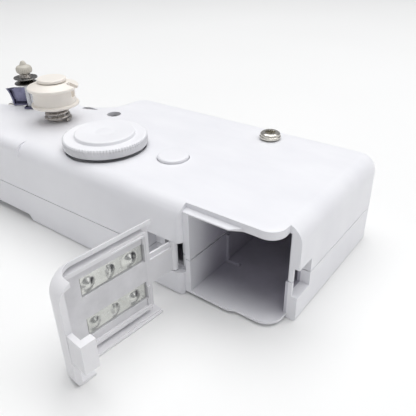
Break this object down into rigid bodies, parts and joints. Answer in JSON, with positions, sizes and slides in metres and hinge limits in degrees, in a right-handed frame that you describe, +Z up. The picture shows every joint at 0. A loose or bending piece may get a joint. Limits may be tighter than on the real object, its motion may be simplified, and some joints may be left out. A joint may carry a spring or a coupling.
{
  "type": "handheld sewing machine",
  "caption": "Small handheld battery sewing machine lying face up with its battery door open, a hand wheel, bobbin, thread tension and needle arm.",
  "frame": {"origin": "on the underside of the case, under the middle of its length and width", "axes": "+X towards the battery end, +Y towards the sewing side, +Z up out of the face"},
  "size_m": [0.206, 0.1177, 0.0551],
  "materials": {
    "case_plastic": "bright white moulded plastic, soft gloss",
    "door_plastic": "bright white moulded plastic, satin",
    "wheel_plastic": "bright white moulded plastic, satin",
    "gear_plastic": "natural nylon",
    "ivory_plastic": "ivory plastic",
    "knob_plastic": "warm grey, worn satin",
    "dark_plastic": "black plastic",
    "board": "green circuit board",
    "steel": "drawn steel",
    "nickel": "nickel plate",
    "spring_steel": "spring wire",
    "brass": "turned brass"
  },
  "bodies": {
    "case": {"upper_case": "case_plastic", "lower_case": "case_plastic", "motor_can": "steel", "idler_axle": "steel", "switch_board": "board", "switch_body": "dark_plastic", "dc_socket": "dark_plastic", "spool_pin": "ivory_plastic", "spool_spring": "spring_steel", "tension_post": "steel", "tension_bracket": "steel", "tension_disc_low": "nickel", "tension_disc_high": "nickel", "tension_spring": "spring_steel", "arm_pivot_pin": "steel", "needle_plate": "nickel", "looper_pin": "steel", "bay_plate_a": "nickel", "bay_plate_b": "nickel", "bay_plate_c": "nickel", "case_screw_a": "steel", "case_screw_b": "steel", "case_screw_c": "steel", "case_screw_d": "steel"},
    "wheel": {"hand_wheel": "wheel_plastic", "wheel_shaft": "steel", "main_gear": "gear_plastic"},
    "motor_rotor": {"motor_shaft": "steel", "motor_pinion": "brass"},
    "idler": {"idler_gear": "gear_plastic"},
    "winder": {"winder_hub": "nickel", "winder_pinion": "gear_plastic"},
    "button": {"power_button": "case_plastic"},
    "bobbin": {"bobbin": "ivory_plastic"},
    "tension_knob": {"tension_knob": "knob_plastic"},
    "needle_arm": {"needle_arm": "steel", "needle_clamp": "nickel", "needle": "steel"},
    "needle_screw": {"needle_screw": "steel"},
    "presser": {"presser_bar": "steel", "presser_knob": "wheel_plastic", "presser_foot": "steel"},
    "looper": {"looper": "steel"},
    "strap_pivot": {"door_pivot": "steel"},
    "door": {"battery_door": "door_plastic", "door_contact_a": "nickel", "door_contact_b": "nickel"}
  },
  "joints": [
    {"name": "wheel_spin", "type": "hinge", "parent": "case", "child": "wheel", "pos_m": [0.017, -0.01685, 0.038], "axis": [0, 0, 1], "continuous": true},
    {"name": "motor_spin", "type": "hinge", "parent": "case", "child": "motor_rotor", "pos_m": [0.02982, -0.00365, 0.024], "axis": [0, 0, 1], "continuous": true},
    {"name": "idler_spin", "type": "hinge", "parent": "case", "child": "idler", "pos_m": [0.04407, 0.01363, 0.024], "axis": [0, 0, 1], "continuous": true},
    {"name": "winder_spin", "type": "hinge", "parent": "case", "child": "winder", "pos_m": [0.0635, 0.02395, 0.024], "axis": [0, 0, 1], "continuous": true},
    {"name": "button_press", "type": "slide", "parent": "case", "child": "button", "axis": [0, 0, -1], "range_m": [0, 0.001], "stiffness_N_per_m": 300, "springref_m": -0.0005},
    {"name": "bobbin_spin", "type": "hinge", "parent": "case", "child": "bobbin", "pos_m": [-0.0204, -0.00925, 0.044], "axis": [0, 0, 1], "continuous": true},
    {"name": "tension_turn", "type": "hinge", "parent": "case", "child": "tension_knob", "pos_m": [-0.0431, -0.00625, 0.052], "axis": [0, 0, 1], "range_deg": [-720, 720]},
    {"name": "needle_swing", "type": "hinge", "parent": "case", "child": "needle_arm", "pos_m": [-0.001, -0.01425, 0.0155], "axis": [0, 0, -1], "range_deg": [0, 10.8]},
    {"name": "needle_screw_turn", "type": "hinge", "parent": "needle_arm", "child": "needle_screw", "pos_m": [-0.08328, -0.01926, 0.0155], "axis": [0.9956, 0.0941, 0], "range_deg": [0, 720]},
    {"name": "presser_lift", "type": "slide", "parent": "case", "child": "presser", "axis": [0, -1, 0], "range_m": [0, 0.005], "stiffness_N_per_m": 150, "springref_m": -0.002},
    {"name": "looper_swing", "type": "hinge", "parent": "case", "child": "looper", "pos_m": [-0.014, 0.02615, 0.0074], "axis": [0, 1, 0], "range_deg": [0, 5]},
    {"name": "strap_slide", "type": "slide", "parent": "case", "child": "strap_pivot", "axis": [-1, 0, 0], "range_m": [0, 0.0063]},
    {"name": "door_hinge", "type": "hinge", "parent": "strap_pivot", "child": "door", "pos_m": [0.0639, -0.03485, 0.0155], "axis": [0, 0, 1], "range_deg": [-20, 96]}
  ],
  "couplings": [
    {"joint": "motor_spin", "follows": "wheel_spin", "ratio": -3.6},
    {"joint": "idler_spin", "follows": "wheel_spin", "ratio": 0.78261},
    {"joint": "winder_spin", "follows": "wheel_spin", "ratio": -4},
    {"joint": "looper_swing", "follows": "needle_swing", "ratio": 0.46}
  ]
}
